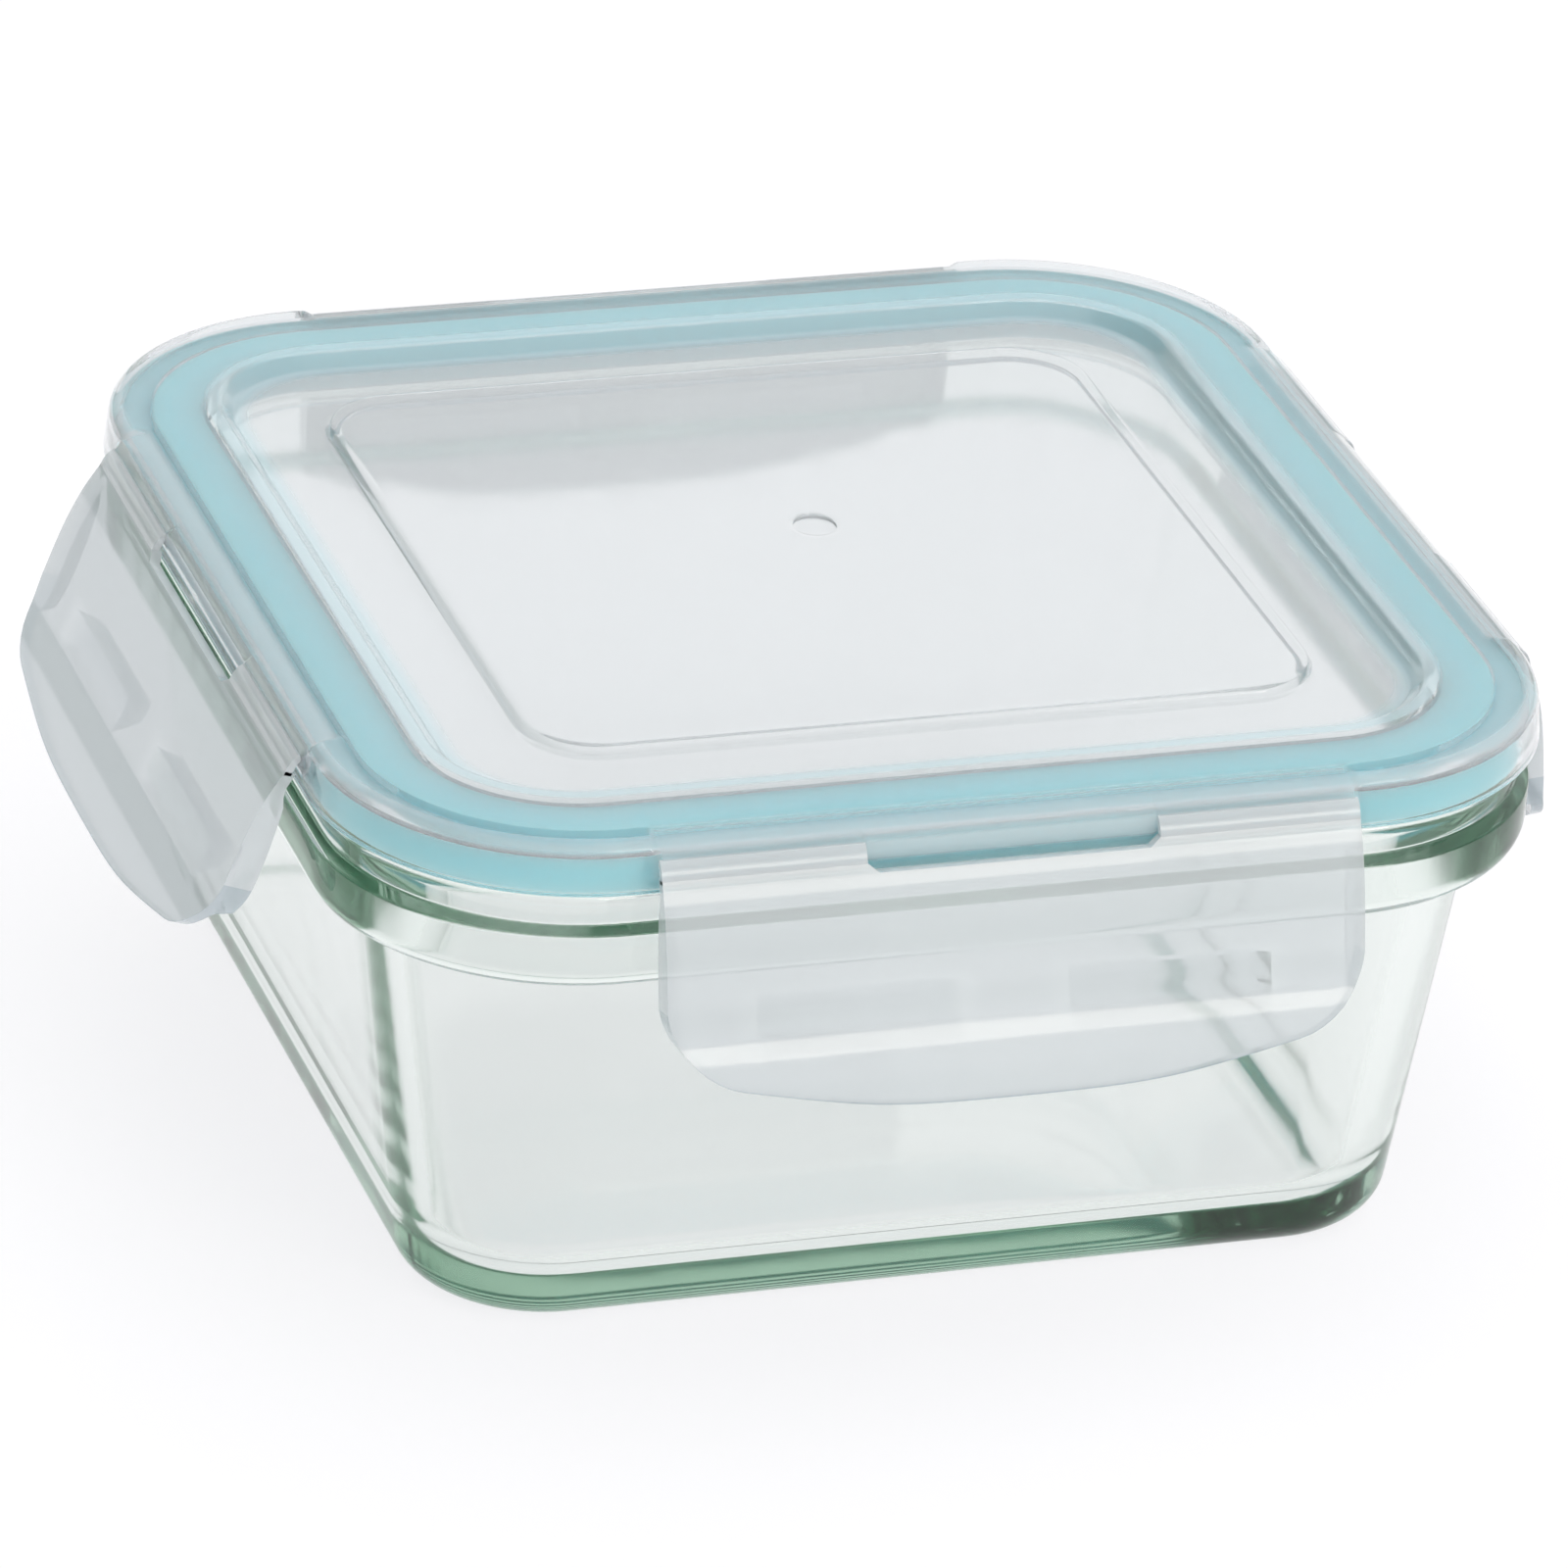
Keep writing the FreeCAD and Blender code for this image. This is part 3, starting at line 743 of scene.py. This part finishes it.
def make_latch(side, quarter, degrees):
    columns, rows = latch_grid()
    verts, milk, edge = [], [], []
    for face in (outer_face, inner_face):
        for nominal in rows:
            for y in columns:
                z = row_height(nominal, y)
                across, height = opened(face(y, z), z, degrees)
                verts.append(side_point(across, y, height, quarter))
                milk.append(MILK_RIDGE if face is inner_face and on_ridge(y, z) else 1.0)
                # the lowest row gets the painted edge shade
                edge.append(1.0 if nominal == rows[0] else 0.0)
    faces = shell_faces(len(columns), len(rows))
    piece = new_piece(side + "_clip", verts, faces, LATCH_PLASTIC, side + "_flap", [side + "_latch"],
                      sharp=50, even=False, milk=milk, edge=edge)
    bevel = piece.modifiers.new("soft_edges", "BEVEL")
    bevel.width = LATCH_BEVEL
    bevel.segments = LATCH_BEVEL_STEPS
    bevel.limit_method = "ANGLE"
    bevel.angle_limit = math.radians(LATCH_BEVEL_ANGLE)
    bevel.use_clamp_overlap = True
    shade_evenly(piece)


WEB_STEPS, WEB_PITCH = 8, 4.0
# the web's section as curves (start, knee, finish); the finish turns with the latch
WEB_OUTSIDE = (79.45, 71.72), (80.75, 71.2), (80.95, 68.9)
WEB_INSIDE = (79.3, 71.05), (79.95, 70.5), (80.0, 68.95)


def bowed(start, knee, finish, degrees):
    """Curve from start to the turned finish, pulled towards the knee."""
    finish = opened(*finish, degrees)
    shares = [k / WEB_STEPS for k in range(WEB_STEPS + 1)]
    return [tuple((1 - t) ** 2 * s + 2 * t * (1 - t) * m + t * t * f for s, m, f in zip(start, knee, finish))
            for t in shares]


def strip_faces(count, places):
    """Faces of a closed section of count points, swept through the places, with both ends filled."""
    faces = []
    for j in range(places - 1):
        for i in range(count):
            k = (i + 1) % count
            faces.append((j * count + i, (j + 1) * count + i, (j + 1) * count + k, j * count + k))
    last = (places - 1) * count
    for i in range(count // 2 - 1):
        j = count - 1 - i
        faces.append((i, i + 1, j - 1, j))
        faces.append((last + i + 1, last + i, last + j, last + j - 1))
    return faces


def make_web(side, quarter, degrees, end, low, high):
    """Thin curved strip from the lid's platform to the top of the latch."""
    section = bowed(*WEB_OUTSIDE, degrees) + bowed(*WEB_INSIDE, degrees)[::-1]
    places = spaced([low, high], WEB_PITCH)
    verts = [side_point(a, y, z, quarter) for y in places for a, z in section]
    piece = new_piece(f"{side}_hinge_strip_{end}", verts, strip_faces(len(section), len(places)),
                      WEB_PLASTIC, None, [f"{side}_hinge_web_{end}"], sharp=50)
    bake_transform(piece)


make_dish()
make_seal()
make_lid()
for side, (quarter, degrees) in SIDES.items():
    make_latch(side, quarter, degrees)
    make_web(side, quarter, degrees, "a", -HALF, -SLOT_HALF)
    make_web(side, quarter, degrees, "b", SLOT_HALF, HALF)

# ---------------------------------------------------------------- studio

WHITE = (0.985, 0.98, 1.0)
DARK_CARD = (0.17, 0.23, 0.195)
WORLD_STRENGTH = 0.97
FLOOR_HALF, FLOOR_GAP, FLOOR_ALBEDO, FLOOR_GLOW = 4, 0.0002, 0.24, 0.79
# the dark band above the horizon: sine of the elevation at which it starts to fade and is gone
HORIZON_FADE, HORIZON_DARKNESS = (0.06, 0.2), 0.55
# the dark cards at the sides: cosines of the angle from the camera's right where each starts and is full
SIDE_FADES = (0.86, 0.99), (-0.3, -0.75)


def make_floor():
    """Grey floor that glows nearly white, so that it looks even and takes only a faint shadow."""
    size = FLOOR_HALF
    mesh = bpy.data.meshes.new("floor")
    corners = [(-size, -size, 0), (size, -size, 0), (size, size, 0), (-size, size, 0)]
    mesh.from_pydata(corners, [], [(0, 1, 2, 3)])
    floor = bpy.data.objects.new("floor", mesh)
    floor.location.z = -FLOOR_GAP
    scene.collection.objects.link(floor)
    material, tree, shader = tree_of("floor_paint")
    set_values(shader, {"Base Color": (FLOOR_ALBEDO, FLOOR_ALBEDO, FLOOR_ALBEDO, 1), "Roughness": 0.9,
                        "Emission Color": (*WHITE, 1), "Emission Strength": FLOOR_GLOW})
    mesh.materials.append(material)


def make_world():
    """White all round, with a dark card on either side and a dim horizon to draw the glass's edges."""
    world = bpy.data.worlds.new("studio")
    world.use_nodes = True
    scene.world = world
    tree = world.node_tree
    direction = tree.nodes.new("ShaderNodeTexCoord").outputs["Generated"]
    height = tree.nodes.new("ShaderNodeSeparateXYZ")
    tree.links.new(direction, height.inputs[0])
    darkness = ranged(tree, height.outputs["Z"], HORIZON_DARKNESS, 0, *HORIZON_FADE, smooth=True)
    dot = tree.nodes.new("ShaderNodeVectorMath")
    dot.operation = "DOT_PRODUCT"
    dot.inputs[1].default_value = (math.cos(AZIMUTH), math.sin(AZIMUTH), 0)
    tree.links.new(direction, dot.inputs[0])
    for near, far in SIDE_FADES:
        darkest = tree.nodes.new("ShaderNodeMath")
        darkest.operation = "MAXIMUM"
        tree.links.new(darkness, darkest.inputs[0])
        tree.links.new(ranged(tree, dot.outputs["Value"], 0, 1, near, far, smooth=True), darkest.inputs[1])
        darkness = darkest.outputs[0]
    background = tree.nodes["Background"]
    tree.links.new(blended(tree, darkness, WHITE, DARK_CARD), background.inputs["Color"])
    background.inputs["Strength"].default_value = WORLD_STRENGTH


def softbox(name, place, aim, size, power, colour=(1, 1, 1)):
    data = bpy.data.lights.new(name, "AREA")
    data.shape = "RECTANGLE"
    data.size, data.size_y = size
    data.energy = power
    data.color = colour
    light = bpy.data.objects.new(name, data)
    light.location = place
    light.rotation_euler = (Vector(aim) - Vector(place)).to_track_quat("-Z", "Y").to_euler()
    scene.collection.objects.link(light)


make_camera()
make_floor()
make_world()
softbox("overhead", place=(0, 0.1, 1.3), aim=(0, 0, 0), size=(1.2, 1.2), power=3)
softbox("front_card", place=(0.39, -1.17, 0.66), aim=(0, -0.08, 0.06), size=(0.8, 0.24), power=2.4,
        colour=(1, 0.93, 0.83))
